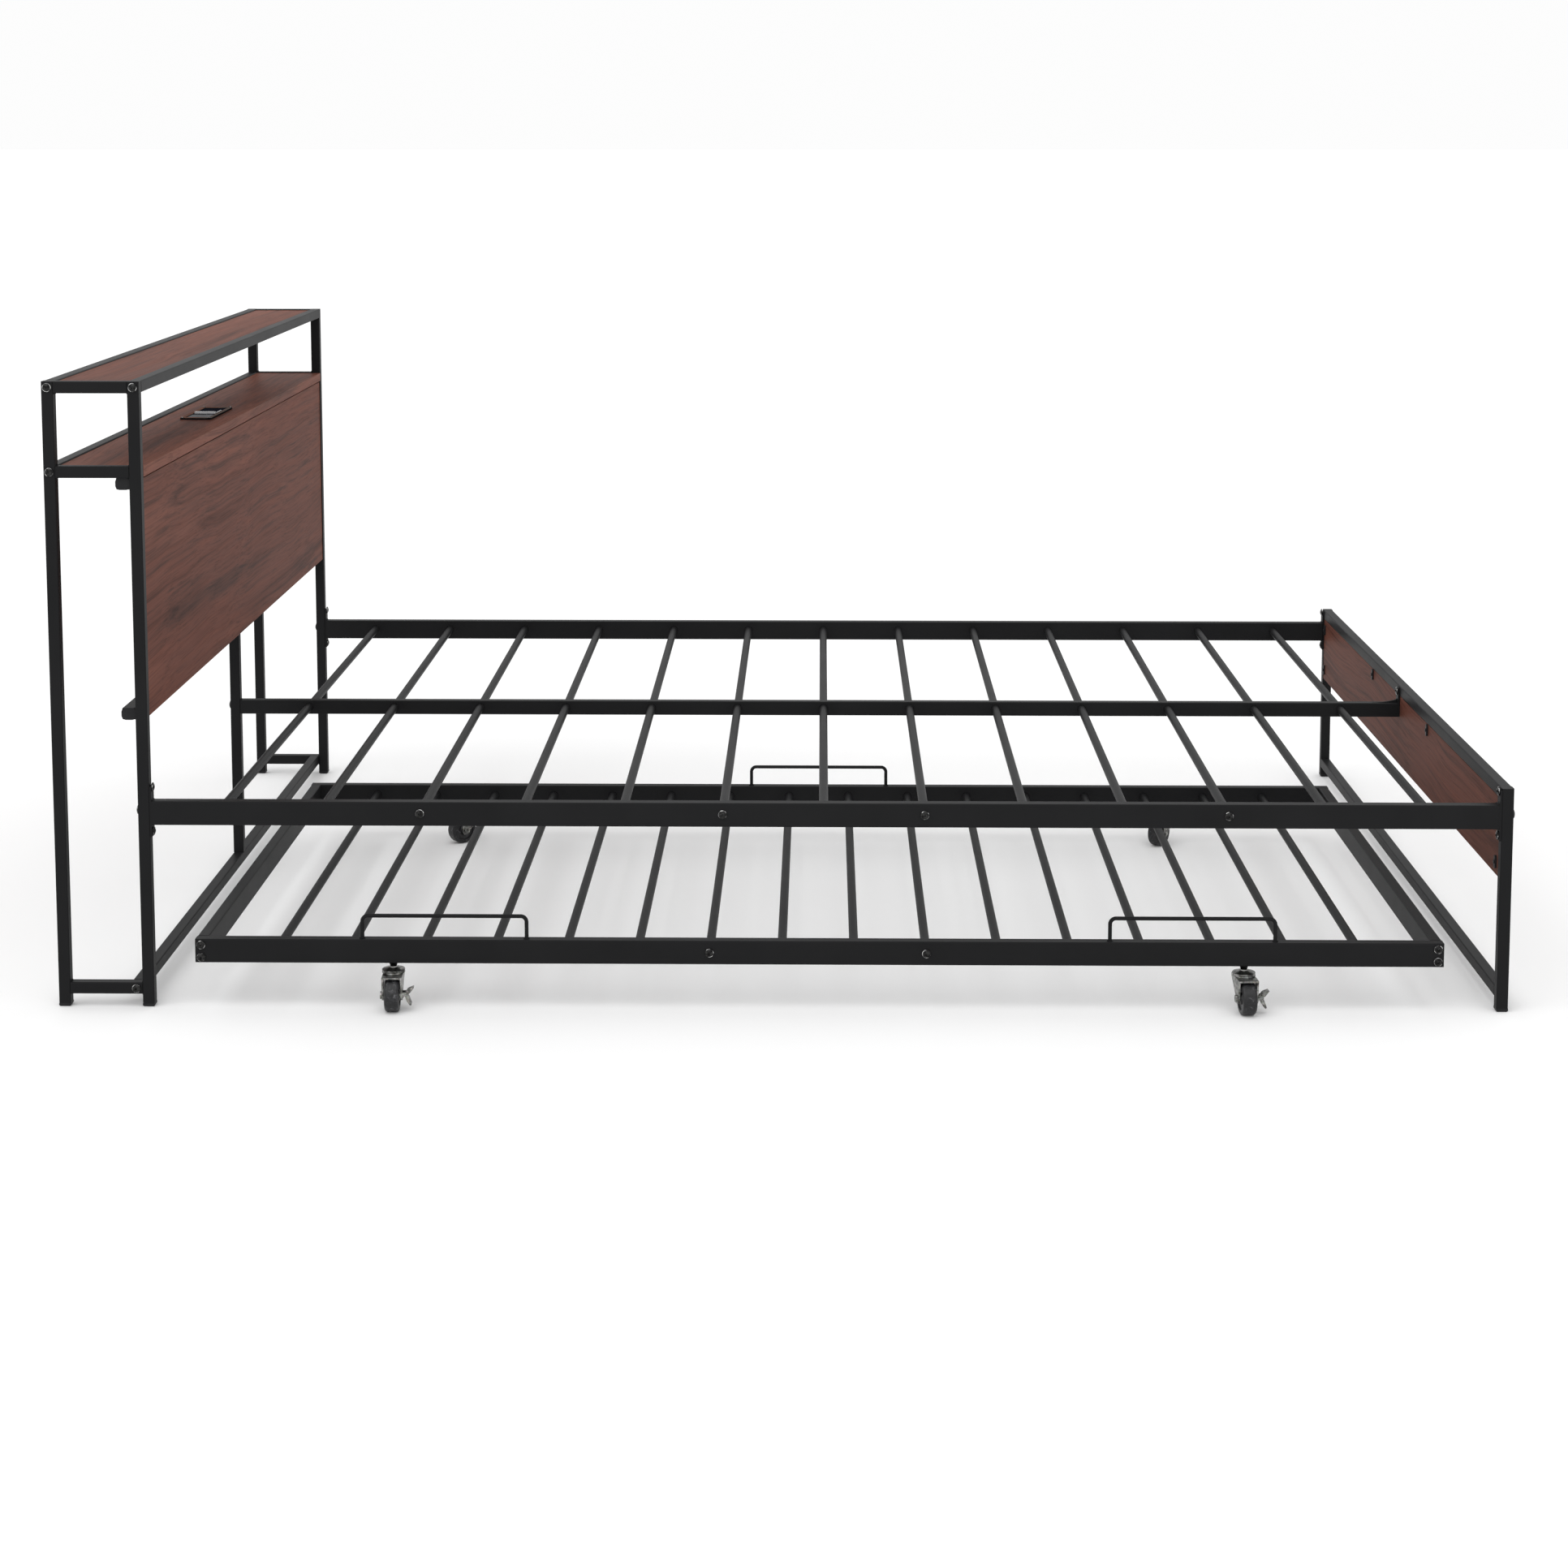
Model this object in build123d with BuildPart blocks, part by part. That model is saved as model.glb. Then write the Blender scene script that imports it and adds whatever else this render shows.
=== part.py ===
from build123d import *
import os

# Trundle bed in millimetres: +X runs from the headboard to the footboard, +Y across the bed to its
# right, +Z up. Z = 0 is the floor and the origin is the middle of the whole outline on the floor.

# Overall sizes
overall_length = 2218.0
overall_width = 1560.0
overall_height = 964.0
headboard_depth = 147.0
footboard_height = 348.0

# Square tube of the posts and cross bars
tube = 18.0
tube_wall = 1.2
tube_corner = 2.0
weld_gap = 0.1
seat_gap = 0.5

# Plastic feet of the six legs
foot_height = 5.0
foot_bevel = 2.0
foot_plug_height = 12.0
foot_plug_clearance = 0.2

# Bed rails and deck
rail_height = 37.0
rail_width = 20.0
rail_bottom = 285.0
rail_plate = 3.0
rail_plate_height = 84.0
rail_plate_middle = 308.5
rail_plate_bolt_spacing = 68.0
post_bolt_z = 307.5
centre_rail_height = 25.0
slat_diameter = 14.0
slat_wall = 1.2
slat_z = 304.5
bed_slat_count = 13
bed_slat_pitch = 153.6
slat_hole_clearance = 0.2
bolted_slats = (-4, -1, 1, 4)
centre_plate_bolt_z = 338.0

# Headboard
bottom_bar_bottom = 20.0
shelf_bar_bottom = 818.0
board_thickness = 16.0
top_board_drop = 2.0
panel_bottom = 450.0
panel_shelf_gap = 2.5
panel_side_gap = 0.5
panel_rail_depth = 22.0
panel_upper_rail_gap = 0.5
panel_lower_rail_z = 456.0
panel_rail_end_inset = 10.0
end_cap_flange = 2.0
end_cap_lip = 0.8
end_cap_plug = 10.0
end_cap_corner = 7.0

# Power outlet in the lower shelf
outlet_plate_length = 184.0
outlet_plate_width = 54.0
outlet_plate_thickness = 3.0
outlet_plate_corner = 4.0
outlet_rim = 7.0
outlet_offset_y = -25.0
outlet_body_width = 44.0
outlet_body_length = 172.0
outlet_housing_depth = 42.0
outlet_housing_wall = 2.0
outlet_fit_gap = 0.3
outlet_insert_thickness = 9.0
outlet_insert_recess = 1.0
outlet_usb_share = 0.42
usb_port_length = 13.0
usb_port_width = 5.6
usb_tongue_width = 2.0
usb_port_pitch = 19.0
socket_pitch = 42.0
socket_blade_length = 9.0
socket_blade_width = 2.4
socket_blade_spacing = 12.7
socket_earth_radius = 2.6
socket_earth_offset = 11.0
socket_depth = 7.0
outlet_screw_head = 5.0
outlet_screw_head_height = 1.0
outlet_screw_shank = 2.6
outlet_screw_inset = 3.6

# Footboard
footboard_panel_bottom = 207.0
clip_width = 8.0
clip_height = 20.0
clip_thickness = 3.2
clip_middle_spacing = 480.0
clip_edge_inset = 14.0
clip_screw_radius = 2.8
clip_screw_height = 1.4

# Fasteners
bolt_head_diameter = 14.0
bolt_head_height = 3.6
bolt_rim_height = 1.2
bolt_shank_diameter = 6.0
bolt_hole_clearance = 0.2
bolt_socket_width = 4.0
bolt_socket_depth = 2.0
frame_bolt_length = 30.0
plate_bolt_length = 14.0
slat_bolt_length = 22.0

# Trundle frame
trundle_length = 1907.0
trundle_width = 1020.0
trundle_middle_x = 56.0
trundle_rail_rise = 20.0
trundle_end_rail_width = 18.0
trundle_slat_count = 16
trundle_slat_pitch = 110.5
trundle_bolted_slats = (-1.5, 1.5)
corner_bolt_spacing = 19.4

# Mattress guards
guard_wire = 6.0
guard_width = 258.0
guard_rise = 38.0
guard_bend = 9.0
guard_foot_depth = 14.0
guard_hole_clearance = 0.125
guard_offset_x = 572.0

# Casters
caster_offset_x = 651.0
wheel_diameter = 50.0
wheel_width = 22.0
wheel_edge = 3.0
wheel_shoulder = 1.0
wheel_recess = 2.0
wheel_rim_width = 7.0
wheel_hub_radius = 8.5
caster_trail = 25.0
axle_diameter = 8.0
running_clearance = 0.05
fork_inner_width = 26.0
fork_plate = 2.5
fork_crown_gap = 2.0
fork_crown_back = 15.0
fork_crown_front = 35.0
fork_eye_radius = 8.0
dome_radius = 17.5
dome_rim_height = 4.0
dome_height = 7.5
dome_top_radius = 7.0
stem_diameter = 8.0
stem_reach = 14.0
stem_tail = 1.25
cone_nut_top_radius = 7.0
cone_nut_bottom_radius = 5.0
cone_nut_height = 6.5
collar_radius = 6.2
swivel_gap = 0.3
axle_head_radius = 6.0
axle_head_height = 3.0
axle_rivet_radius = 4.75
axle_rivet_height = 1.5
front_caster_turn = (3.0, 5.0)
rear_caster_turn = (-50.0, -35.0)

# Foot brakes of the two front casters
brake_pivot_x = 21.0
brake_pivot_rise = 2.0
brake_width = 10.0
brake_barrel_radius = 2.8
brake_root_radius = 2.2
brake_pin_radius = 1.5
brake_ear = 2.0
brake_ear_gap = 0.3
brake_ear_radius = 3.2
brake_upper_belly = (4.5, 5.0, 3.2)
brake_upper_tip = (11.0, 10.0, 1.0)
brake_lower_belly = (3.0, -8.5, 2.8)
brake_lower_tip = (6.5, -15.5, 1.8)

# Derived positions
front_reach = caster_trail + wheel_diameter / 2 - rail_width / 2
middle_y = front_reach / 2
half_width = overall_width / 2
head_x = -overall_length / 2
foot_x = overall_length / 2
rear_post_x = head_x + tube / 2
front_post_x = head_x + headboard_depth - tube / 2
foot_post_x = foot_x - tube / 2
rail_start_x = head_x + headboard_depth
rail_end_x = foot_x - tube
post_y = half_width - tube / 2
inner_y = half_width - tube
rail_middle_x = (rail_start_x + rail_end_x) / 2
rail_z = rail_bottom + rail_height / 2
rail_y = half_width - rail_width / 2
top_bar_z = overall_height - tube / 2
shelf_bar_z = shelf_bar_bottom + tube / 2
bottom_bar_z = bottom_bar_bottom + tube / 2
panel_back_x = front_post_x - tube / 2
panel_rail_x = panel_back_x - weld_gap - panel_rail_depth / 2
cross_bar_x = panel_back_x - weld_gap - tube / 2
shelf_board_bottom = shelf_bar_bottom
shelf_board_top = shelf_board_bottom + board_thickness
panel_top = shelf_board_bottom - panel_shelf_gap
panel_upper_rail_z = shelf_bar_bottom - panel_upper_rail_gap - tube / 2
footboard_rail_z = footboard_height - tube / 2
bolt_radius = bolt_shank_diameter / 2
bolt_hole = bolt_radius + bolt_hole_clearance
slat_hole = slat_diameter / 2 + slat_hole_clearance
guard_hole = guard_wire / 2 + guard_hole_clearance
stem_hole = stem_diameter / 2 + bolt_hole_clearance
bed_slat_steps = [i - (bed_slat_count - 1) / 2 for i in range(bed_slat_count)]
bed_slat_xs = [rail_middle_x + step * bed_slat_pitch for step in bed_slat_steps]
bolted_slat_xs = [rail_middle_x + step * bed_slat_pitch for step in bolted_slats]
plate_bolt_zs = [rail_plate_middle + s * rail_plate_bolt_spacing / 2 for s in (-1, 1)]
sides = {"left": -1, "right": 1}


def along_x(x, y, z):
    """Plane at the point with its normal along +X."""
    return Plane(origin=(x, y, z), x_dir=(0, 1, 0), z_dir=(1, 0, 0))


def along_y(x, y, z):
    """Plane at the point with its normal along +Y."""
    return Plane(origin=(x, y, z), x_dir=(1, 0, 0), z_dir=(0, 1, 0))


def facing_y(x, y, z, side):
    """Plane at the point with its normal along +Y or -Y."""
    return Plane(origin=(x, y, z), x_dir=(1, 0, 0), z_dir=(0, side, 0))


def facing_x(x, y, z, side):
    """Plane at the point with its normal along +X or -X."""
    return Plane(origin=(x, y, z), x_dir=(0, 1, 0), z_dir=(side, 0, 0))


def hollow_bar(plane, width, height, length):
    """Open-ended rectangular tube that starts at the plane."""
    with BuildSketch(plane) as section:
        RectangleRounded(width, height, tube_corner)
        RectangleRounded(
            width - 2 * tube_wall, height - 2 * tube_wall, tube_corner - tube_wall, mode=Mode.SUBTRACT
        )
    extrude(section.sketch, amount=length)


def cross_bar(x, z, half_length):
    """Square tube across the bed, centred on its middle."""
    hollow_bar(along_y(x, middle_y - half_length, z), tube, tube, 2 * half_length)


def post(x, y, top):
    """Square leg, open at the foot and closed at the top."""
    with BuildSketch(Plane((x, y, foot_height))) as outside:
        RectangleRounded(tube, tube, tube_corner)
    extrude(outside.sketch, amount=top - foot_height)
    inner = tube - 2 * tube_wall
    with BuildSketch(Plane((x, y, foot_height))) as inside:
        RectangleRounded(inner, inner, tube_corner - tube_wall)
    extrude(inside.sketch, amount=top - foot_height - tube_wall, mode=Mode.SUBTRACT)


def drill(plane, depth, radius):
    """Round hole from the plane along its normal."""
    with BuildSketch(plane) as hole:
        Circle(radius)
    extrude(hole.sketch, amount=depth, mode=Mode.SUBTRACT)


def write(part, label):
    part.label = label
    export_step(part, f"parts/{label}.step")


os.makedirs("parts", exist_ok=True)

# Bolt patterns of the headboard's side frames: (x, z) of the bolts that run along Y
frame_bolt_points = [
    (rear_post_x, top_bar_z),
    (front_post_x, top_bar_z),
    (rear_post_x, shelf_bar_z),
    (cross_bar_x, bottom_bar_z),
]

# Headboard side frames: two posts joined by three short welded bars
for side_name, side in sides.items():
    frame_y = middle_y + side * post_y
    with BuildPart() as headboard_side_frame:
        post(rear_post_x, frame_y, overall_height)
        post(front_post_x, frame_y, overall_height)
        bar_start = rear_post_x + tube / 2 + weld_gap
        bar_length = front_post_x - rear_post_x - tube - 2 * weld_gap
        for bar_z in (top_bar_z, shelf_bar_z, bottom_bar_z):
            hollow_bar(along_x(bar_start, frame_y, bar_z), tube, tube, bar_length)
        for bolt_x, bolt_z in frame_bolt_points:
            drill(facing_y(bolt_x, frame_y + side * tube / 2, bolt_z, -side), tube, bolt_hole)
        for bolt_z in plate_bolt_zs:
            drill(along_x(panel_back_x + tube / 2, frame_y, bolt_z), tube / 2, bolt_hole)
        drill(along_x(panel_back_x, frame_y, post_bolt_z), tube, bolt_hole)
    write(headboard_side_frame.part, f"headboard_side_frame_{side_name}")

# Long members between the side frames
with BuildPart() as headboard_top_front_rail:
    cross_bar(front_post_x, top_bar_z, inner_y - weld_gap)
write(headboard_top_front_rail.part, "headboard_top_front_rail")

with BuildPart() as headboard_top_rear_rail:
    cross_bar(rear_post_x, top_bar_z, inner_y - weld_gap)
write(headboard_top_rear_rail.part, "headboard_top_rear_rail")

with BuildPart() as headboard_shelf_rear_rail:
    cross_bar(rear_post_x, shelf_bar_z, inner_y - weld_gap)
write(headboard_shelf_rear_rail.part, "headboard_shelf_rear_rail")

with BuildPart() as headboard_bottom_rail:
    cross_bar(cross_bar_x, bottom_bar_z, inner_y - weld_gap)
write(headboard_bottom_rail.part, "headboard_bottom_rail")

# Two rails behind the headboard panel, with plastic caps at their ends
panel_rail_half = half_width - panel_rail_end_inset
for rail_name, panel_rail_z in (("upper", panel_upper_rail_z), ("lower", panel_lower_rail_z)):
    with BuildPart() as panel_rail:
        hollow_bar(
            along_y(panel_rail_x, middle_y - panel_rail_half, panel_rail_z),
            panel_rail_depth,
            tube,
            2 * panel_rail_half,
        )
    write(panel_rail.part, f"panel_{rail_name}_rail")

with BuildPart() as panel_rail_end_caps:
    for side in sides.values():
        for panel_rail_z in (panel_upper_rail_z, panel_lower_rail_z):
            cap_y = middle_y + side * panel_rail_half
            cap_width = panel_rail_depth + end_cap_lip
            with BuildSketch(facing_y(panel_rail_x - end_cap_lip / 2, cap_y, panel_rail_z, side)):
                RectangleRounded(cap_width, tube + end_cap_lip, end_cap_corner)
            extrude(amount=end_cap_flange)
            with BuildSketch(facing_y(panel_rail_x, cap_y, panel_rail_z, -side)):
                RectangleRounded(
                    panel_rail_depth - 2 * tube_wall - 2 * foot_plug_clearance,
                    tube - 2 * tube_wall - 2 * foot_plug_clearance,
                    tube_corner - tube_wall,
                )
            extrude(amount=end_cap_plug)
write(panel_rail_end_caps.part, "panel_rail_end_caps")

# Centre post between the bottom rail and the lower panel rail
centre_post_bottom = bottom_bar_bottom + tube + weld_gap
centre_post_top = panel_lower_rail_z - tube / 2 - weld_gap
centre_post_length = centre_post_top - centre_post_bottom
with BuildPart() as headboard_centre_post:
    hollow_bar(Plane((cross_bar_x, middle_y, centre_post_bottom)), tube, tube, centre_post_length)
    drill(along_x(cross_bar_x - tube / 2, middle_y, post_bolt_z), tube, bolt_hole)
write(headboard_centre_post.part, "headboard_centre_post")

# Shelf boards and panel
board_half_y = inner_y - seat_gap
with BuildPart() as top_shelf_board:
    board_back_x = rear_post_x + tube / 2 + seat_gap
    board_front_x = front_post_x - tube / 2 - seat_gap
    with BuildSketch(Plane.XY.offset(overall_height - top_board_drop - board_thickness)):
        with Locations(((board_back_x + board_front_x) / 2, middle_y)):
            Rectangle(board_front_x - board_back_x, 2 * board_half_y)
    extrude(amount=board_thickness)
write(top_shelf_board.part, "top_shelf_board")

outlet_x = panel_rail_x - panel_rail_depth / 2 - seat_gap - outlet_body_width / 2
outlet_y = middle_y + outlet_offset_y
shelf_back_x = rear_post_x + tube / 2 + seat_gap
shelf_front_x = rail_start_x
with BuildPart() as lower_shelf_board:
    with BuildSketch(Plane.XY.offset(shelf_board_bottom)):
        with Locations(((shelf_back_x + shelf_front_x) / 2, middle_y)):
            Rectangle(shelf_front_x - shelf_back_x, 2 * board_half_y)
        with Locations((outlet_x, outlet_y)):
            Rectangle(
                outlet_body_width + 2 * outlet_fit_gap,
                outlet_body_length + 2 * outlet_fit_gap,
                mode=Mode.SUBTRACT,
            )
        for side in sides.values():
            for corner_x in (-1, 1):
                with Locations(
                    (
                        outlet_x + corner_x * (outlet_plate_width / 2 - outlet_screw_inset),
                        outlet_y + side * (outlet_plate_length / 2 - outlet_screw_inset),
                    )
                ):
                    Circle(outlet_screw_shank / 2, mode=Mode.SUBTRACT)
    extrude(amount=board_thickness)
write(lower_shelf_board.part, "lower_shelf_board")

with BuildPart() as headboard_panel:
    with BuildSketch(Plane.XY.offset(panel_bottom)):
        with Locations((panel_back_x + board_thickness / 2, middle_y)):
            Rectangle(board_thickness, 2 * (inner_y - panel_side_gap))
    extrude(amount=panel_top - panel_bottom)
write(headboard_panel.part, "headboard_panel")

# Power outlet: rim plate, insert with two USB ports and two sockets, and the housing under the shelf
outlet_top = shelf_board_top + outlet_plate_thickness
outlet_window_width = outlet_plate_width - 2 * outlet_rim
outlet_window_length = outlet_plate_length - 4 * outlet_rim
with BuildPart() as power_outlet_bezel:
    with BuildSketch(Plane((outlet_x, outlet_y, shelf_board_top))):
        RectangleRounded(outlet_plate_width, outlet_plate_length, outlet_plate_corner)
        Rectangle(outlet_window_width, outlet_window_length, mode=Mode.SUBTRACT)
        with GridLocations(
            outlet_plate_width - 2 * outlet_screw_inset, outlet_plate_length - 2 * outlet_screw_inset, 2, 2
        ):
            Circle(outlet_screw_shank / 2, mode=Mode.SUBTRACT)
    extrude(amount=outlet_plate_thickness)
write(power_outlet_bezel.part, "power_outlet_bezel")

with BuildPart() as power_outlet_screws:
    with BuildSketch(Plane((outlet_x, outlet_y, outlet_top))):
        with GridLocations(
            outlet_plate_width - 2 * outlet_screw_inset, outlet_plate_length - 2 * outlet_screw_inset, 2, 2
        ):
            Circle(outlet_screw_head / 2)
    extrude(amount=outlet_screw_head_height)
    with BuildSketch(Plane((outlet_x, outlet_y, outlet_top))):
        with GridLocations(
            outlet_plate_width - 2 * outlet_screw_inset, outlet_plate_length - 2 * outlet_screw_inset, 2, 2
        ):
            Circle(outlet_screw_shank / 2)
    extrude(amount=-board_thickness / 2 - outlet_plate_thickness)
write(power_outlet_screws.part, "power_outlet_screws")

insert_width = outlet_window_width - 2 * outlet_fit_gap
insert_length = outlet_window_length - 2 * outlet_fit_gap
usb_length = insert_length * outlet_usb_share
usb_middle = -insert_length / 2 + usb_length / 2
socket_middle = -insert_length / 2 + usb_length + (insert_length - usb_length) / 2
with BuildPart() as power_outlet_insert:
    insert_top = outlet_top - outlet_insert_recess
    with BuildSketch(Plane((outlet_x, outlet_y, insert_top - outlet_insert_thickness))):
        Rectangle(insert_width, insert_length)
    extrude(amount=outlet_insert_thickness)
    with BuildSketch(Plane((outlet_x, outlet_y, insert_top))):
        for port in (-1, 1):
            with Locations((0, usb_middle + port * usb_port_pitch / 2)):
                Rectangle(usb_port_length, usb_port_width)
            with Locations((0, usb_middle + port * usb_port_pitch / 2)):
                Rectangle(usb_port_length - usb_tongue_width, usb_tongue_width, mode=Mode.SUBTRACT)
        for socket in (-1, 1):
            socket_y = socket_middle + socket * socket_pitch / 2
            with Locations(*[(0, socket_y + s * socket_blade_spacing / 2) for s in (-1, 1)]):
                Rectangle(socket_blade_length, socket_blade_width)
            with Locations((socket_earth_offset, socket_y)):
                Circle(socket_earth_radius)
    extrude(amount=-socket_depth, mode=Mode.SUBTRACT)
write(power_outlet_insert.part, "power_outlet_insert")

with BuildPart() as power_outlet_housing:
    housing_top = insert_top - outlet_insert_thickness
    housing_height = housing_top - (shelf_board_top - outlet_housing_depth)
    with BuildSketch(Plane((outlet_x, outlet_y, shelf_board_top - outlet_housing_depth))):
        Rectangle(outlet_body_width, outlet_body_length)
    extrude(amount=housing_height)
    with BuildSketch(Plane((outlet_x, outlet_y, housing_top))):
        Rectangle(outlet_body_width - 2 * outlet_housing_wall, outlet_body_length - 2 * outlet_housing_wall)
    extrude(amount=outlet_housing_wall - housing_height, mode=Mode.SUBTRACT)
write(power_outlet_housing.part, "power_outlet_housing")

# Side rails: rectangular tube with a welded plate at each end, drilled for the slats and their bolts
rail_tube_start = rail_start_x + rail_plate + weld_gap
rail_tube_length = rail_end_x - rail_start_x - 2 * rail_plate - 2 * weld_gap
for side_name, side in sides.items():
    plate_y = middle_y + side * post_y
    outer_y = middle_y + side * half_width
    with BuildPart() as side_rail:
        rail_tube_plane = along_x(rail_tube_start, middle_y + side * rail_y, rail_z)
        hollow_bar(rail_tube_plane, rail_width, rail_height, rail_tube_length)
        for plate_x in (rail_start_x, rail_end_x - rail_plate):
            with BuildSketch(along_x(plate_x, plate_y, rail_plate_middle - rail_plate)):
                RectangleRounded(tube, rail_plate_height - 2 * rail_plate, tube_corner)
            extrude(amount=rail_plate)
            for bolt_z in (*plate_bolt_zs, post_bolt_z):
                drill(along_x(plate_x, plate_y, bolt_z), rail_plate, bolt_hole)
        with BuildSketch(facing_y(0, outer_y - side * rail_width, slat_z, side)):
            with Locations(*[(x, 0) for x in bed_slat_xs]):
                Circle(slat_hole)
        extrude(amount=2 * tube_wall, mode=Mode.SUBTRACT)
        with BuildSketch(facing_y(0, outer_y, slat_z, -side)):
            with Locations(*[(x, 0) for x in bolted_slat_xs]):
                Circle(bolt_hole)
        extrude(amount=2 * tube_wall, mode=Mode.SUBTRACT)
    write(side_rail.part, f"side_rail_{side_name}")

# Centre rail, which every slat passes through, with a plate up to the footboard's top rail
centre_rail_start = cross_bar_x + tube / 2 + weld_gap
centre_rail_end = rail_end_x - rail_plate - weld_gap
centre_plate_bottom = slat_z - centre_rail_height / 2
centre_plate_height = footboard_height - rail_plate - centre_plate_bottom
with BuildPart() as centre_rail:
    hollow_bar(
        along_x(centre_rail_start, middle_y, slat_z),
        tube,
        centre_rail_height,
        centre_rail_end - centre_rail_start,
    )
    centre_plate_z = centre_plate_bottom + centre_plate_height / 2
    with BuildSketch(along_x(rail_end_x - rail_plate, middle_y, centre_plate_z)):
        RectangleRounded(tube, centre_plate_height, tube_corner)
    extrude(amount=rail_plate)
    drill(along_x(rail_end_x - rail_plate, middle_y, centre_plate_bolt_z), rail_plate, bolt_hole)
    with BuildSketch(along_y(0, middle_y - tube / 2, slat_z)):
        with Locations(*[(x, 0) for x in bed_slat_xs]):
            Circle(slat_hole)
    extrude(amount=tube, mode=Mode.SUBTRACT)
write(centre_rail.part, "centre_rail")

slat_half = half_width - tube_wall - seat_gap
with BuildPart() as bed_slats:
    with BuildSketch(along_y(0, middle_y - slat_half, slat_z)):
        with Locations(*[(x, 0) for x in bed_slat_xs]):
            Circle(slat_diameter / 2)
            Circle(slat_diameter / 2 - slat_wall, mode=Mode.SUBTRACT)
    extrude(amount=2 * slat_half)
write(bed_slats.part, "bed_slats")

# Footboard: two posts, two rails, a panel and its clips
for side_name, side in sides.items():
    foot_post_y = middle_y + side * post_y
    with BuildPart() as footboard_post:
        post(foot_post_x, foot_post_y, footboard_height)
        for bolt_z in plate_bolt_zs:
            drill(along_x(rail_end_x, foot_post_y, bolt_z), tube / 2, bolt_hole)
        drill(along_x(rail_end_x, foot_post_y, post_bolt_z), tube, bolt_hole)
    write(footboard_post.part, f"footboard_post_{side_name}")

with BuildPart() as footboard_top_rail:
    cross_bar(foot_post_x, footboard_rail_z, inner_y - weld_gap)
    drill(along_x(rail_end_x, middle_y, centre_plate_bolt_z), tube / 2, bolt_hole)
write(footboard_top_rail.part, "footboard_top_rail")

with BuildPart() as footboard_bottom_rail:
    cross_bar(foot_post_x, bottom_bar_z, inner_y - weld_gap)
write(footboard_bottom_rail.part, "footboard_bottom_rail")

footboard_panel_top = footboard_height - tube - seat_gap
with BuildPart() as footboard_panel:
    with BuildSketch(Plane.XY.offset(footboard_panel_bottom)):
        with Locations((foot_post_x, middle_y)):
            Rectangle(board_thickness, 2 * (inner_y - panel_side_gap))
    extrude(amount=footboard_panel_top - footboard_panel_bottom)
write(footboard_panel.part, "footboard_panel")

clip_x = foot_post_x - board_thickness / 2
clip_end_y = inner_y - clip_edge_inset
clip_points = [
    (side * y, z)
    for side in sides.values()
    for y, z in (
        (clip_middle_spacing / 2, footboard_panel_top - clip_height / 2),
        (clip_end_y, footboard_panel_top - clip_height),
        (clip_end_y, footboard_panel_bottom + clip_height),
    )
]
with BuildPart() as footboard_panel_clips:
    with BuildSketch(facing_x(clip_x, middle_y, 0, -1)):
        with Locations(*[(y, -z) for y, z in clip_points]):
            RectangleRounded(clip_width, clip_height, clip_thickness)
    extrude(amount=clip_thickness)
    with BuildSketch(facing_x(clip_x - clip_thickness, middle_y, 0, -1)):
        with Locations(*[(y, -z) for y, z in clip_points]):
            Circle(clip_screw_radius)
    extrude(amount=clip_screw_height)
write(footboard_panel_clips.part, "footboard_panel_clips")

# Plastic feet: a bevelled pad under each leg with a plug inside the tube
leg_points = [
    (leg_x, middle_y + side * post_y)
    for leg_x in (rear_post_x, front_post_x, foot_post_x)
    for side in sides.values()
]
with BuildPart() as foot_caps:
    for leg_x, leg_y in leg_points:
        plug = tube - 2 * tube_wall - 2 * foot_plug_clearance
        with BuildSketch(Plane((leg_x, leg_y, 0))):
            Rectangle(tube - 2 * foot_bevel, tube - 2 * foot_bevel)
        with BuildSketch(Plane((leg_x, leg_y, foot_bevel))):
            Rectangle(tube, tube)
        loft()
        with BuildSketch(Plane((leg_x, leg_y, foot_bevel))):
            Rectangle(tube, tube)
        extrude(amount=foot_height - foot_bevel)
        with BuildSketch(Plane((leg_x, leg_y, foot_height))):
            RectangleRounded(plug, plug, tube_corner - tube_wall)
        extrude(amount=foot_plug_height)
write(foot_caps.part, "foot_caps")


# One pan-head bolt with a hexagon socket per length: its head stands on the XY plane, its shank goes down
bolt_patterns = {}
for shank_length in (frame_bolt_length, plate_bolt_length, plate_bolt_length + tube, slat_bolt_length):
    head_radius = bolt_head_diameter / 2
    with BuildPart() as bolt:
        with BuildSketch(Plane.XZ):
            with BuildLine():
                Polyline(
                    (0, bolt_head_height),
                    (0, -shank_length),
                    (bolt_radius, -shank_length),
                    (bolt_radius, 0),
                    (head_radius, 0),
                    (head_radius, bolt_rim_height),
                )
                TangentArc((0, bolt_head_height), (head_radius, bolt_rim_height), tangent=(1, 0))
            make_face()
        revolve(axis=Axis.Z)
        with BuildSketch(Plane.XY.offset(bolt_head_height)):
            RegularPolygon(bolt_socket_width / 2, 6)
        extrude(amount=-bolt_socket_depth, mode=Mode.SUBTRACT)
    bolt_patterns[shank_length] = bolt.part


def place_bolts(shank_length, planes):
    """Copies of one bolt with each head standing on a plane."""
    with Locations(*[plane.location for plane in planes]):
        add(bolt_patterns[shank_length])


frame_bolt_planes = [
    facing_y(x, middle_y + side * half_width, z, side)
    for side in sides.values()
    for x, z in frame_bolt_points
]
with BuildPart() as headboard_bolts:
    place_bolts(frame_bolt_length, frame_bolt_planes)
write(headboard_bolts.part, "headboard_bolts")

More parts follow.
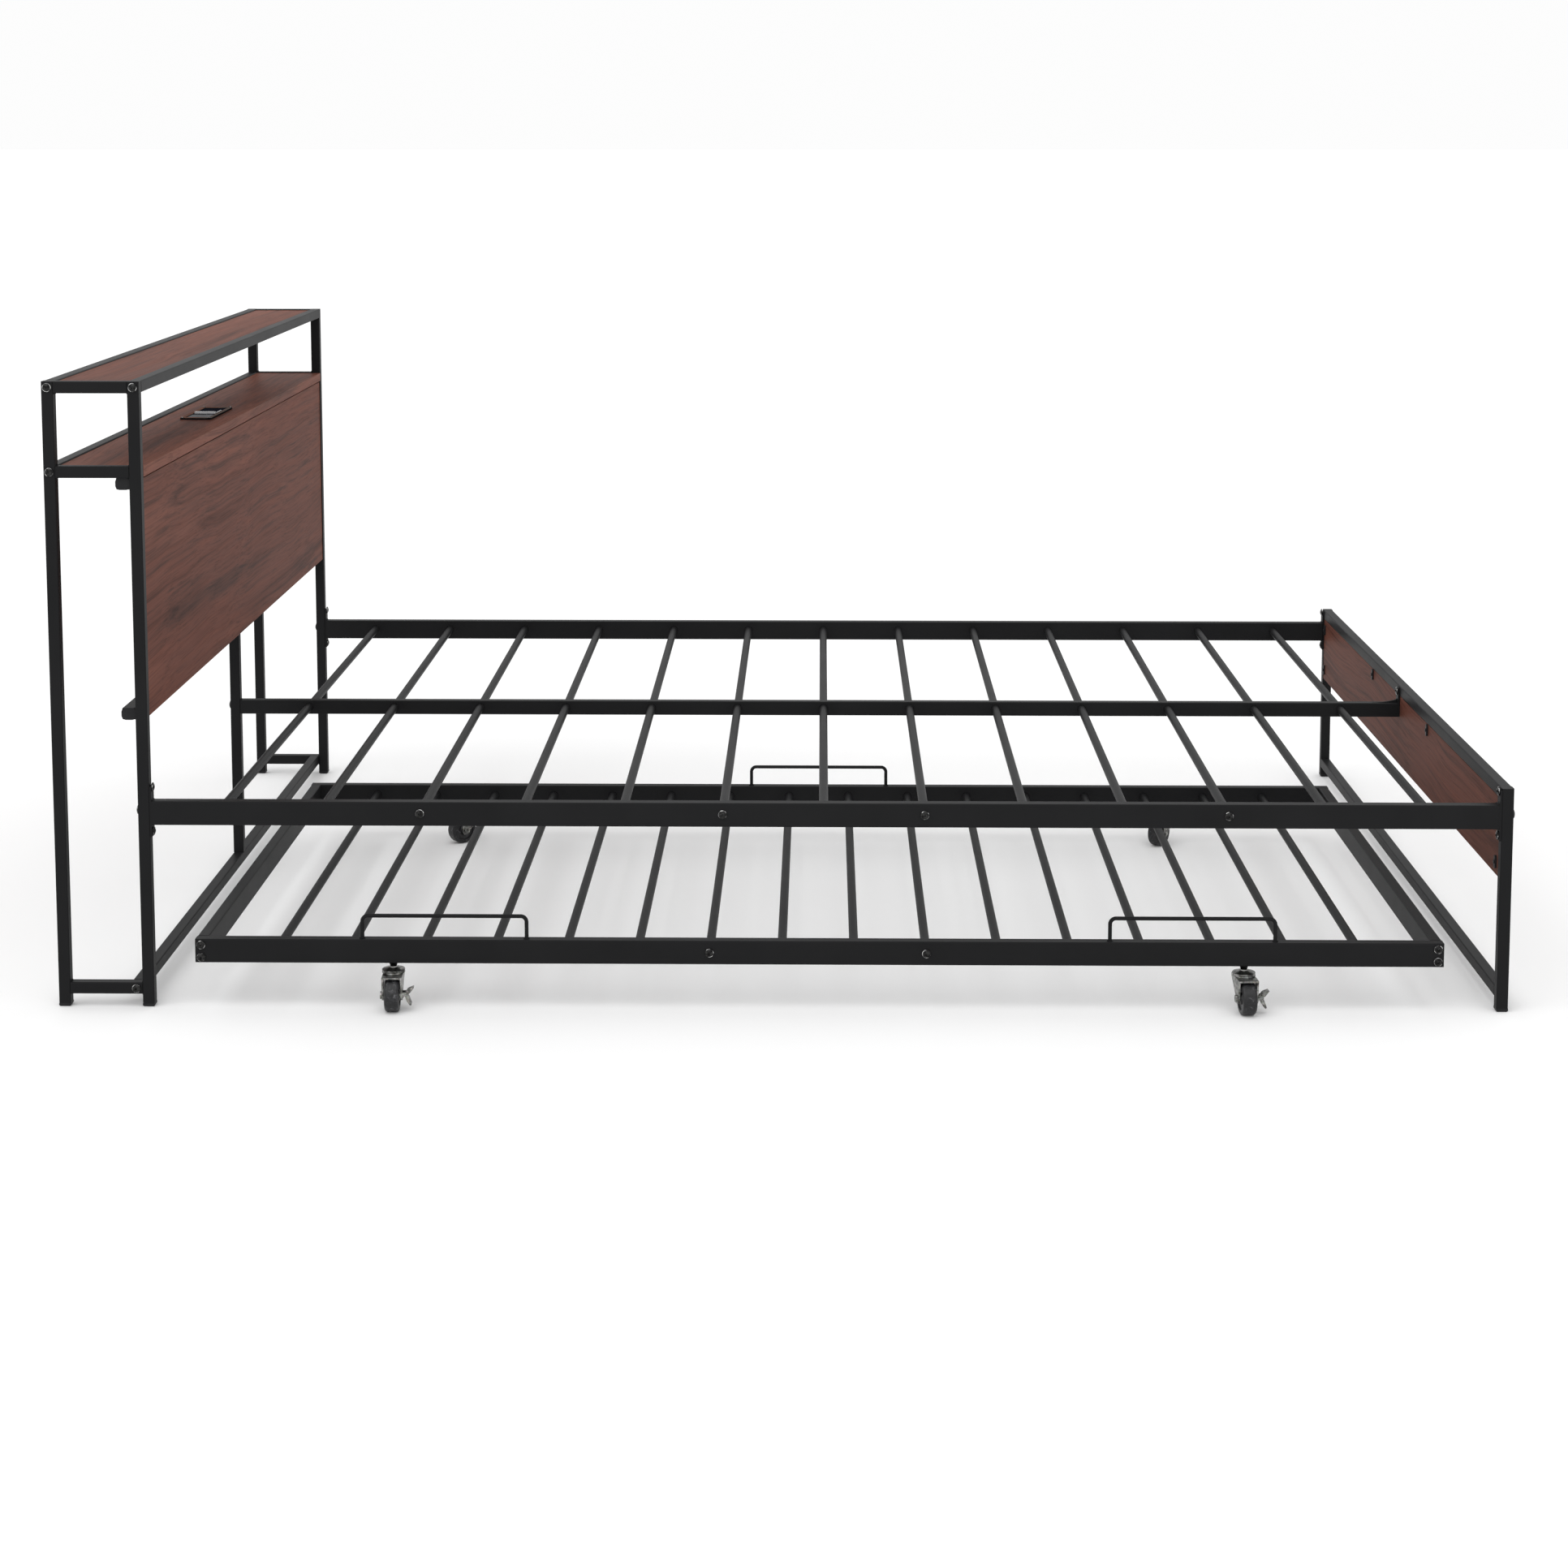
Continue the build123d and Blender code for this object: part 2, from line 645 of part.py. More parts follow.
plate_bolt_planes = [
    facing_x(x, middle_y + side * post_y, z, direction)
    for side in sides.values()
    for z in plate_bolt_zs
    for x, direction in ((rail_start_x + rail_plate, 1), (rail_end_x - rail_plate, -1))
]
post_bolt_planes = [
    facing_x(x, middle_y + side * post_y, post_bolt_z, direction)
    for side in sides.values()
    for x, direction in ((panel_back_x, -1), (foot_x, 1))
]
with BuildPart() as rail_bolts:
    place_bolts(plate_bolt_length, plate_bolt_planes)
    place_bolts(plate_bolt_length + tube, post_bolt_planes)
    place_bolts(plate_bolt_length + tube, [facing_x(cross_bar_x - tube / 2, middle_y, post_bolt_z, -1)])
    place_bolts(plate_bolt_length, [facing_x(rail_end_x - rail_plate, middle_y, centre_plate_bolt_z, -1)])
write(rail_bolts.part, "rail_bolts")

slat_bolt_planes = [
    facing_y(x, middle_y + side * half_width, slat_z, side)
    for side in sides.values()
    for x in bolted_slat_xs
]
with BuildPart() as slat_bolts:
    place_bolts(slat_bolt_length, slat_bolt_planes)
write(slat_bolts.part, "slat_bolts")

# Trundle frame: its front rail stands under the bed's left rail when it is pushed in
trundle_rail_bottom = wheel_diameter + trundle_rail_rise
trundle_rail_z = trundle_rail_bottom + rail_height / 2
trundle_rail_top = trundle_rail_bottom + rail_height
trundle_front_y = middle_y - half_width
trundle_rear_y = trundle_front_y + trundle_width
trundle_start_x = trundle_middle_x - trundle_length / 2
trundle_slat_steps = [i - (trundle_slat_count - 1) / 2 for i in range(trundle_slat_count)]
trundle_slat_xs = [trundle_middle_x + step * trundle_slat_pitch for step in trundle_slat_steps]
trundle_bolted_xs = [trundle_middle_x + step * trundle_slat_pitch for step in trundle_bolted_slats]
corner_bolt_xs = [
    trundle_middle_x + s * (trundle_length - trundle_end_rail_width) / 2 for s in (-1, 1)
]
corner_bolt_points = [(x, s * corner_bolt_spacing / 2) for x in corner_bolt_xs for s in (-1, 1)]
trundle_bolt_points = corner_bolt_points + [(x, 0) for x in trundle_bolted_xs]
guard_front_xs = [trundle_middle_x - guard_offset_x, trundle_middle_x + guard_offset_x]
guard_foot_xs = {
    "front": [x + s * (guard_width - guard_wire) / 2 for x in guard_front_xs for s in (-1, 1)],
    "rear": [trundle_middle_x + s * (guard_width - guard_wire) / 2 for s in (-1, 1)],
}
caster_xs = [trundle_middle_x - caster_offset_x, trundle_middle_x + caster_offset_x]
trundle_rails = {"front": (trundle_front_y, -1), "rear": (trundle_rear_y, 1)}
for rail_name, (outer_y, side) in trundle_rails.items():
    middle_line_y = outer_y - side * rail_width / 2
    with BuildPart() as trundle_rail:
        hollow_bar(
            along_x(trundle_start_x, middle_line_y, trundle_rail_z), rail_width, rail_height, trundle_length
        )
        with BuildSketch(facing_y(0, outer_y - side * rail_width, trundle_rail_z, side)):
            with Locations(*[(x, 0) for x in trundle_slat_xs]):
                Circle(slat_hole)
            with Locations(*corner_bolt_points):
                Circle(bolt_hole)
        extrude(amount=2 * tube_wall, mode=Mode.SUBTRACT)
        with BuildSketch(facing_y(0, outer_y, trundle_rail_z, -side)):
            with Locations(*trundle_bolt_points):
                Circle(bolt_hole)
        extrude(amount=2 * tube_wall, mode=Mode.SUBTRACT)
        for guard_foot_x in guard_foot_xs[rail_name]:
            drill(Plane((guard_foot_x, middle_line_y, trundle_rail_top)), -2 * tube_wall, guard_hole)
        for caster_x in caster_xs:
            drill(Plane((caster_x, middle_line_y, trundle_rail_bottom)), 2 * tube_wall, stem_hole)
    write(trundle_rail.part, f"trundle_{rail_name}_rail")

end_rail_start_y = trundle_front_y + rail_width + weld_gap
end_rail_length = trundle_width - 2 * rail_width - 2 * weld_gap
for rail_name, end_x in zip(("head", "foot"), corner_bolt_xs):
    with BuildPart() as trundle_end_rail:
        end_rail_plane = along_y(end_x, end_rail_start_y, trundle_rail_z)
        hollow_bar(end_rail_plane, trundle_end_rail_width, rail_height, end_rail_length)
    write(trundle_end_rail.part, f"trundle_end_rail_{rail_name}")

trundle_slat_start = trundle_front_y + tube_wall + seat_gap
trundle_slat_length = trundle_width - 2 * tube_wall - 2 * seat_gap
with BuildPart() as trundle_slats:
    with BuildSketch(along_y(0, trundle_slat_start, trundle_rail_z)):
        with Locations(*[(x, 0) for x in trundle_slat_xs]):
            Circle(slat_diameter / 2)
            Circle(slat_diameter / 2 - slat_wall, mode=Mode.SUBTRACT)
    extrude(amount=trundle_slat_length)
write(trundle_slats.part, "trundle_slats")

trundle_bolt_planes = [
    facing_y(x, outer_y, trundle_rail_z + dz, side)
    for outer_y, side in trundle_rails.values()
    for x, dz in trundle_bolt_points
]
with BuildPart() as trundle_bolts:
    place_bolts(frame_bolt_length, trundle_bolt_planes)
write(trundle_bolts.part, "trundle_bolts")

# Mattress guards: bent wire whose feet stand in the rail
guards = {
    "front_head": (guard_front_xs[0], trundle_front_y + rail_width / 2),
    "front_foot": (guard_front_xs[1], trundle_front_y + rail_width / 2),
    "rear": (trundle_middle_x, trundle_rear_y - rail_width / 2),
}
guard_half = (guard_width - guard_wire) / 2
guard_top = guard_rise - guard_wire / 2
for guard_name, (guard_x, guard_y) in guards.items():
    guard_plane = Plane(origin=(guard_x, guard_y, trundle_rail_top), x_dir=(1, 0, 0), z_dir=(0, -1, 0))
    with BuildPart() as mattress_guard:
        with BuildLine(guard_plane) as guard_line:
            FilletPolyline(
                (-guard_half, -guard_foot_depth),
                (-guard_half, guard_top),
                (guard_half, guard_top),
                (guard_half, -guard_foot_depth),
                radius=guard_bend,
            )
        with BuildSketch(Plane((guard_x - guard_half, guard_y, trundle_rail_top - guard_foot_depth))):
            Circle(guard_wire / 2)
        sweep(path=guard_line.line)
    write(mattress_guard.part, f"mattress_guard_{guard_name}")

# Casters, each drawn about its own swivel axis with the wheel trailing towards -Y
caster_places = {}
for row_name, turns, caster_y in (
    ("front", front_caster_turn, trundle_front_y + rail_width / 2),
    ("rear", rear_caster_turn, trundle_rear_y - rail_width / 2),
):
    for end_name, turn, caster_x in zip(("head", "foot"), turns, caster_xs):
        caster_places[f"{row_name}_{end_name}"] = Location((caster_x, caster_y, 0), (0, 0, turn))

axle_radius = axle_diameter / 2
axle_z = wheel_diameter / 2
brake_pivot_z = axle_z + brake_pivot_rise
wheel_radius = wheel_diameter / 2
fork_top = wheel_diameter + fork_crown_gap
fork_outer = fork_inner_width / 2 + fork_plate
dome_base = fork_top + fork_plate
dome_top = dome_base + dome_height
collar_bottom = dome_top + swivel_gap
nut_bottom = trundle_rail_bottom - cone_nut_height
stem_bottom = dome_base - stem_tail

with BuildPart() as caster_stem:
    with BuildSketch(Plane.XZ):
        with BuildLine():
            Polyline(
                (0, stem_bottom),
                (stem_diameter / 2, stem_bottom),
                (stem_diameter / 2, collar_bottom),
                (collar_radius, collar_bottom),
                (collar_radius, nut_bottom),
                (cone_nut_bottom_radius, nut_bottom),
                (cone_nut_top_radius, trundle_rail_bottom),
                (stem_diameter / 2, trundle_rail_bottom),
                (stem_diameter / 2, trundle_rail_bottom + stem_reach),
                (0, trundle_rail_bottom + stem_reach),
                close=True,
            )
        make_face()
    revolve(axis=Axis.Z)
for caster_name, place in caster_places.items():
    write(place * caster_stem.part, f"caster_stem_{caster_name}")

crown_middle_y = (fork_crown_back - fork_crown_front) / 2
for fork_kind in ("plain", "braked"):
    with BuildPart() as caster_fork:
        with BuildSketch(Plane((0, crown_middle_y, fork_top))):
            RectangleRounded(2 * fork_outer, fork_crown_back + fork_crown_front, fork_plate)
        extrude(amount=fork_plate)
        with BuildSketch(Plane.XZ):
            with BuildLine():
                Polyline(
                    (0, dome_base),
                    (dome_radius, dome_base),
                    (dome_radius, dome_base + dome_rim_height),
                    (dome_top_radius, dome_top),
                    (0, dome_top),
                    close=True,
                )
            make_face()
        revolve(axis=Axis.Z)
        for leg_side in (-1, 1):
            leg_x = leg_side * fork_inner_width / 2
            with BuildSketch(facing_x(leg_x, 0, 0, leg_side)):
                with BuildLine():
                    lowest = axle_z - fork_eye_radius
                    Polyline(
                        (fork_crown_back, leg_side * (fork_top + fork_plate)),
                        (fork_crown_back, leg_side * (fork_top - fork_plate)),
                        (-caster_trail + fork_eye_radius, leg_side * axle_z),
                        (-caster_trail, leg_side * lowest),
                        (-caster_trail - fork_eye_radius, leg_side * axle_z),
                        (-fork_crown_front, leg_side * (fork_top + fork_plate)),
                        close=True,
                    )
                make_face()
                with Locations((-caster_trail, leg_side * axle_z)):
                    Circle(fork_eye_radius)
            extrude(amount=fork_plate)
        if fork_kind == "braked":
            for ear_side in (-1, 1):
                ear_start = ear_side * (brake_width / 2 + brake_ear_gap)
                with BuildSketch(facing_y(0, -caster_trail + ear_start, 0, ear_side)):
                    with Locations(((fork_outer + brake_pivot_x) / 2, -ear_side * brake_pivot_z)):
                        Rectangle(brake_pivot_x - fork_outer, 2 * brake_ear_radius)
                    with Locations((brake_pivot_x, -ear_side * brake_pivot_z)):
                        Circle(brake_ear_radius)
                        Circle(brake_pin_radius + running_clearance, mode=Mode.SUBTRACT)
                extrude(amount=brake_ear)
        drill(Plane.XY.offset(fork_top), dome_top - fork_top, stem_diameter / 2 + running_clearance)
        drill(along_x(-fork_outer, -caster_trail, axle_z), 2 * fork_outer, axle_radius + running_clearance)
    fork_row = "front" if fork_kind == "braked" else "rear"
    for caster_name, place in caster_places.items():
        if caster_name.startswith(fork_row):
            write(place * caster_fork.part, f"caster_fork_{caster_name}")

with BuildPart() as caster_axle:
    with BuildSketch(along_x(-fork_outer - axle_head_height, -caster_trail, axle_z)):
        RegularPolygon(axle_head_radius, 6)
    extrude(amount=axle_head_height)
    with BuildSketch(along_x(-fork_outer, -caster_trail, axle_z)):
        Circle(axle_radius)
    extrude(amount=2 * fork_outer)
    with BuildSketch(along_x(fork_outer, -caster_trail, axle_z)):
        Circle(axle_rivet_radius)
    extrude(amount=axle_rivet_height)
for caster_name, place in caster_places.items():
    write(place * caster_axle.part, f"caster_axle_{caster_name}")

with BuildPart() as caster_wheel:
    wheel_half = wheel_width / 2
    rim_inner = wheel_radius - wheel_rim_width
    disc_half = wheel_half - wheel_recess
    bore = axle_radius + running_clearance
    with BuildSketch(Plane((0, -caster_trail, axle_z))):
        with BuildLine():
            Polyline(
                (-wheel_half, bore),
                (-wheel_half, wheel_hub_radius),
                (-disc_half, wheel_hub_radius + wheel_recess / 2),
                (-disc_half, rim_inner - wheel_recess / 2),
                (-wheel_half, rim_inner),
                (-wheel_half, wheel_radius - wheel_edge),
                (-wheel_half + wheel_shoulder, wheel_radius - wheel_shoulder),
                (-wheel_half + wheel_edge, wheel_radius),
                (wheel_half - wheel_edge, wheel_radius),
                (wheel_half - wheel_shoulder, wheel_radius - wheel_shoulder),
                (wheel_half, wheel_radius - wheel_edge),
                (wheel_half, rim_inner),
                (disc_half, rim_inner - wheel_recess / 2),
                (disc_half, wheel_hub_radius + wheel_recess / 2),
                (wheel_half, wheel_hub_radius),
                (wheel_half, bore),
                close=True,
            )
        make_face()
    revolve(axis=Axis((0, -caster_trail, axle_z), (1, 0, 0)))
for caster_name, place in caster_places.items():
    write(place * caster_wheel.part, f"caster_wheel_{caster_name}")

# Brake lever: a rocker with two tabs on a pin between the fork's ears
with BuildPart() as brake_lever:
    brake_start_y = -caster_trail - brake_width / 2
    with BuildSketch(along_y(0, brake_start_y, 0)):
        with Locations((brake_pivot_x, -brake_pivot_z)):
            Circle(brake_barrel_radius)
        brake_root = (0, 0, brake_root_radius)
        for belly, tip in ((brake_upper_belly, brake_upper_tip), (brake_lower_belly, brake_lower_tip)):
            make_hull(
                [
                    Edge.make_circle(r, Plane((brake_pivot_x + out, -brake_pivot_z - up, 0)))
                    for out, up, r in (brake_root, belly, tip)
                ]
            )
    extrude(amount=brake_width)
    pin_start = brake_start_y - brake_ear_gap - brake_ear
    with BuildSketch(along_y(brake_pivot_x, pin_start, brake_pivot_z)):
        Circle(brake_pin_radius)
    extrude(amount=brake_width + 2 * brake_ear_gap + 2 * brake_ear)
for caster_name, place in caster_places.items():
    if caster_name.startswith("front"):
        write(place * brake_lever.part, f"brake_lever_{caster_name}")
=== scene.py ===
import math
import random

import bmesh
import bpy
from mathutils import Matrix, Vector


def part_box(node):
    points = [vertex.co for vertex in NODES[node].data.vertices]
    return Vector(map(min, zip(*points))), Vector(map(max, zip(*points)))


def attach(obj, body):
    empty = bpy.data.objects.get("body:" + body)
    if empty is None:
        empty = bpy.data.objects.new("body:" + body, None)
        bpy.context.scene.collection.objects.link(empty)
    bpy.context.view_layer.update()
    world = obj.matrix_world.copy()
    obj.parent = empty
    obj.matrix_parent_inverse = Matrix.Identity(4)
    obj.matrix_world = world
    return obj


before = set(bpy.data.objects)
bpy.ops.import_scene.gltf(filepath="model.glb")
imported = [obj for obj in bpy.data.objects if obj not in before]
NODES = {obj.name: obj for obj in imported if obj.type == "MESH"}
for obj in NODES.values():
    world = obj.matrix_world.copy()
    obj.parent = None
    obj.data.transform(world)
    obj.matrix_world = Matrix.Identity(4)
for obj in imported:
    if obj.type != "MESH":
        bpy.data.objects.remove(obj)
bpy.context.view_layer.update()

# Camera at the photograph's viewing angle, in metres and degrees
CAMERA_AT = (0.0602, -4.9905, 1.3701)
CAMERA_DOWN = 6.622
CAMERA_TURN = 0.757
CAMERA_LENS = 65.40
CAMERA_SENSOR = 36.0
CAMERA_SHIFT_Y = -0.22

# Light and floor
WORLD_WHITE = (1.0, 1.0, 1.0)
WORLD_STRENGTH = 0.98
SUN_ENERGY = 1.1
SUN_SOFTNESS = 70.0
SUN_TILT = (28.0, -16.0)
FLOOR_HALF = 90.0
FLOOR_WHITE = (0.88, 0.88, 0.88)

# Seed of the weld beads
WELD_SEED = 11

TAU = 2 * math.pi
MM = 0.001


# ---------------------------------------------------------------- materials


class Look:
    """A node material with one Principled shader, built up by small calls."""

    def __init__(self, name, metallic=0.0, roughness=0.5, specular=0.5):
        self.material = bpy.data.materials.new(name)
        self.material.use_nodes = True
        self.tree = self.material.node_tree
        self.shader = self.tree.nodes["Principled BSDF"]
        self.shader.inputs["Metallic"].default_value = metallic
        self.shader.inputs["Roughness"].default_value = roughness
        self.shader.inputs["Specular IOR Level"].default_value = specular
        self.place = self.node("ShaderNodeTexCoord").outputs["Object"]

    def node(self, kind, inputs=None, **settings):
        """A node with its settings and its inputs, each a value or another node's output."""
        made = self.tree.nodes.new(kind)
        for key, value in settings.items():
            setattr(made, key, value)
        for key, value in (inputs or {}).items():
            self.feed(made.inputs[key], value)
        return made

    def feed(self, socket, value):
        if isinstance(value, bpy.types.NodeSocket):
            self.tree.links.new(value, socket)
        else:
            socket.default_value = value

    def stretched(self, scale, shift=(0.0, 0.0, 0.0), source=None):
        """The object's coordinates, scaled and shifted."""
        mapping = self.node("ShaderNodeMapping", {"Vector": source or self.place})
        mapping.inputs["Scale"].default_value = scale
        mapping.inputs["Location"].default_value = shift
        return mapping.outputs["Vector"]

    def noise(self, vector, scale=1.0, detail=3.0, roughness=0.5, distortion=0.0):
        made = self.node(
            "ShaderNodeTexNoise",
            {
                "Vector": vector,
                "Scale": scale,
                "Detail": detail,
                "Roughness": roughness,
                "Distortion": distortion,
            },
        )
        return made.outputs["Fac"]

    def ramp(self, source, stops, ease="LINEAR"):
        """Colour ramp from (position, colour) stops; a number stands for a grey."""
        made = self.node("ShaderNodeValToRGB", {"Fac": source})
        made.color_ramp.interpolation = ease
        elements = made.color_ramp.elements
        while len(elements) < len(stops):
            elements.new(0.5)
        for element, (position, colour) in zip(elements, stops):
            element.position = position
            grey = (colour, colour, colour) if isinstance(colour, float) else colour
            element.color = (*grey, 1.0)
        return made.outputs["Color"]

    def mix(self, factor, first, second, blend="MIX"):
        """Colour mix; first and second are colours or outputs."""
        made = self.node("ShaderNodeMix", data_type="RGBA", blend_type=blend)
        self.feed(made.inputs["Factor"], factor)
        for label, value in (("A", first), ("B", second)):
            socket = next(s for s in made.inputs if s.name == label and s.type == "RGBA")
            self.feed(socket, (*value, 1.0) if isinstance(value, tuple) else value)
        return next(s for s in made.outputs if s.type == "RGBA")

    def numbers(self, operation, first, second):
        """Arithmetic on two numbers."""
        return self.node("ShaderNodeMath", {0: first, 1: second}, operation=operation).outputs["Value"]

    def vectors(self, operation, first, second):
        """Arithmetic on two vectors."""
        made = self.node("ShaderNodeVectorMath", {0: first, 1: second}, operation=operation)
        return made.outputs["Vector"]

    def above(self, source, edge, softness):
        """0 below the edge and 1 above it."""
        made = self.node(
            "ShaderNodeMapRange", {"Value": source, "From Min": edge, "From Max": edge + softness}
        )
        return made.outputs["Result"]

    def axis(self, name):
        return self.node("ShaderNodeSeparateXYZ", {"Vector": self.place}).outputs[name]

    def colour(self, value):
        self.feed(self.shader.inputs["Base Color"], value)

    def gloss(self, source, low, high):
        """Roughness from a 0 to 1 value."""
        made = self.node("ShaderNodeMapRange", {"Value": source, "To Min": low, "To Max": high})
        self.feed(self.shader.inputs["Roughness"], made.outputs["Result"])

    def bump(self, source, strength, distance):
        made = self.node(
            "ShaderNodeBump", {"Height": source, "Strength": strength, "Distance": distance}
        )
        self.feed(self.shader.inputs["Normal"], made.outputs["Normal"])


def powder_coat():
    """Black satin powder coat: fine orange peel, faint cloudiness, a little dust."""
    look = Look("black_powder_coat_satin", specular=0.045)
    peel = look.noise(look.place, scale=520.0, detail=2.0)
    clouds = look.noise(look.place, scale=6.0, detail=4.0, roughness=0.6)
    grains = look.noise(look.place, scale=1400.0, detail=1.0)
    tone = look.ramp(clouds, [(0.3, (0.0115, 0.0116, 0.0121)), (0.7, (0.0145, 0.0146, 0.0152))])
    dust = look.above(grains, 0.66, 0.05)
    look.colour(look.mix(dust, tone, (0.014, 0.014, 0.015)))
    look.gloss(clouds, 0.38, 0.50)
    look.bump(peel, 0.06, 0.0005)
    return look.material


def walnut(name, shift, light, middle, dark):
    """Walnut laminate, grain along Y: cloudy tones, wavy veins, fine streaks and short pores."""
    look = Look(name, roughness=0.55, specular=0.02)
    moved = look.stretched((1.0, 1.0, 1.0), shift)
    bend = look.node(
        "ShaderNodeTexNoise",
        {"Vector": look.stretched((1.6, 1.3, 1.6), source=moved), "Scale": 1.0, "Detail": 2.5},
    )
    spread = look.vectors("SUBTRACT", bend.outputs["Color"], (0.5, 0.5, 0.5))
    bent = look.vectors("ADD", moved, look.vectors("MULTIPLY", spread, (0.07, 0.0, 0.07)))

    clouds = look.noise(look.stretched((10.0, 0.55, 10.0), source=bent), detail=5.0, roughness=0.60)
    tone = look.ramp(clouds, [(0.30, dark), (0.45, middle), (0.55, middle), (0.70, light)], "EASE")

    figure = look.noise(look.stretched((14.0, 0.24, 14.0), source=bent), detail=1.0, roughness=0.5)
    folds = look.numbers("PINGPONG", look.numbers("MULTIPLY", figure, 6.0), 1.0)
    veins = look.ramp(folds, [(0.0, 0.58), (0.10, 0.80), (0.35, 1.0)])
    patches = look.noise(look.stretched((6.0, 0.8, 6.0), source=bent), detail=2.0)

    streaks = look.noise(look.stretched((80.0, 1.1, 80.0), source=bent), detail=5.0, roughness=0.65)
    streak_tone = look.ramp(streaks, [(0.32, 0.46), (0.46, 0.94), (0.56, 1.0), (0.72, 1.24)])
    fibres = look.noise(look.stretched((260.0, 2.6, 260.0), source=bent), detail=4.0, roughness=0.6)
    fibre_tone = look.ramp(fibres, [(0.34, 0.66), (0.50, 1.0), (0.68, 1.14)])
    pores = look.noise(look.stretched((560.0, 9.0, 560.0), source=bent), detail=2.0)
    pore_tone = look.ramp(pores, [(0.30, 0.55), (0.42, 1.0)])

    grained = look.mix(look.above(patches, 0.42, 0.16), tone, look.mix(1.0, tone, veins, "MULTIPLY"))
    grained = look.mix(0.85, grained, streak_tone, "MULTIPLY")
    grained = look.mix(0.8, grained, fibre_tone, "MULTIPLY")
    grained = look.mix(0.7, grained, pore_tone, "MULTIPLY")
    look.colour(grained)
    look.gloss(streaks, 0.42, 0.58)
    look.bump(pores, 0.10, 0.0002)
    return look.material


def zinc():
    """Zinc plate with dark patches, partly dirt and partly painted dark reflections of the studio,
    bright only where it is clean.
    """
    look = Look("zinc_plated_steel", metallic=1.0)
    grime_and_dark_reflection = look.noise(look.place, scale=130.0, detail=5.0, roughness=0.65)
    crystals = look.node("ShaderNodeTexVoronoi", {"Vector": look.place, "Scale": 420.0}).outputs["Color"]
    # The dark and middle tones paint dark reflections of the studio onto the plate, mixed with dirt
    dark, middle, bright = (0.05, 0.05, 0.047), (0.19, 0.19, 0.18), (0.42, 0.42, 0.40)
    plate = look.ramp(grime_and_dark_reflection, [(0.38, dark), (0.50, middle), (0.64, bright)])
    look.colour(look.mix(0.12, plate, crystals, "MULTIPLY"))
    look.gloss(grime_and_dark_reflection, 0.42, 0.20)
    look.bump(grime_and_dark_reflection, 0.10, 0.0004)
    return look.material


def black_steel():
    """Glossy black bolt steel, a little worn."""
    look = Look("black_bolt_steel", metallic=1.0)
    wear_and_glints = look.noise(look.place, scale=260.0, detail=3.0, roughness=0.6)
    look.colour(look.ramp(wear_and_glints, [(0.38, (0.012, 0.012, 0.012)), (0.66, (0.045, 0.045, 0.044))]))
    look.gloss(wear_and_glints, 0.18, 0.34)
    look.bump(wear_and_glints, 0.08, 0.0003)
    return look.material


def glint_rim_steel():
    """The rings on the bolt heads, bright in places and black in others: the bright patches are painted
    glints of the polished heads.
    """
    look = Look("bolt_rim_painted_glints", metallic=1.0)
    wear_and_glints = look.noise(look.place, scale=170.0, detail=2.0)
    # The bright stops are painted highlights, arcs of glint standing in for the heads' reflections
    black, middle, bright = (0.02, 0.02, 0.02), (0.22, 0.22, 0.22), (0.62, 0.62, 0.61)
    look.colour(look.ramp(wear_and_glints, [(0.42, black), (0.54, middle), (0.64, bright)]))
    look.gloss(wear_and_glints, 0.30, 0.16)
    look.bump(wear_and_glints, 0.04, 0.0002)
    return look.material


def wheel_plastic():
    """Black wheel with the pale scuffs of use."""
    look = Look("black_wheel_rubber", specular=0.35)
    scuffs = look.noise(look.place, scale=95.0, detail=6.0, roughness=0.72, distortion=1.4)
    speckle = look.noise(look.place, scale=700.0, detail=2.0)
    black, worn, scuffed = (0.008, 0.008, 0.009), (0.020, 0.020, 0.022), (0.16, 0.16, 0.17)
    tone = look.ramp(scuffs, [(0.46, black), (0.58, worn), (0.70, scuffed)])
    look.colour(look.mix(0.35, tone, look.ramp(speckle, [(0.4, 0.7), (0.7, 1.1)]), "MULTIPLY"))
    look.gloss(scuffs, 0.22, 0.55)
    look.bump(scuffs, 0.18, 0.0006)
    return look.material


def black_plastic():
    """Moulded black plastic with a fine spark-eroded grain."""
    look = Look("black_moulded_plastic", specular=0.2)
    grain = look.noise(look.place, scale=1500.0, detail=2.0)
    clouds = look.noise(look.place, scale=45.0, detail=3.0)
    look.colour(look.ramp(clouds, [(0.35, (0.008, 0.008, 0.009)), (0.7, (0.013, 0.013, 0.014))]))
    look.gloss(clouds, 0.42, 0.58)
    look.bump(grain, 0.22, 0.0002)
    return look.material


# The insert's black runs this far past the split onto the USB side as painted shade of the port recess,
# and fades out over this length
SHADE_BAND_REACH = 16 * MM
SHADE_BAND_FADE = 4 * MM


def outlet_plastic(split_y):
    """Outlet insert: grey on the USB side and black on the socket side, with a band of painted shade on
    the USB side next to the split.
    """
    look = Look("outlet_insert_plastic", specular=0.0)
    clouds = look.noise(look.place, scale=240.0, detail=3.0)
    black = look.ramp(clouds, [(0.4, (0.011, 0.013, 0.020)), (0.7, (0.020, 0.023, 0.033))])
    grey = look.ramp(clouds, [(0.4, (0.210, 0.216, 0.225)), (0.7, (0.255, 0.262, 0.270))])
    # The black reaching onto the USB side is painted shade of the port recess in front of the strip
    look.colour(look.mix(look.above(look.axis("Y"), split_y - SHADE_BAND_REACH, SHADE_BAND_FADE), grey, black))
    look.gloss(clouds, 0.26, 0.38)
    look.bump(look.noise(look.place, scale=1800.0, detail=1.0), 0.12, 0.0001)
    return look.material


BEZEL_BLEND = 12 * MM


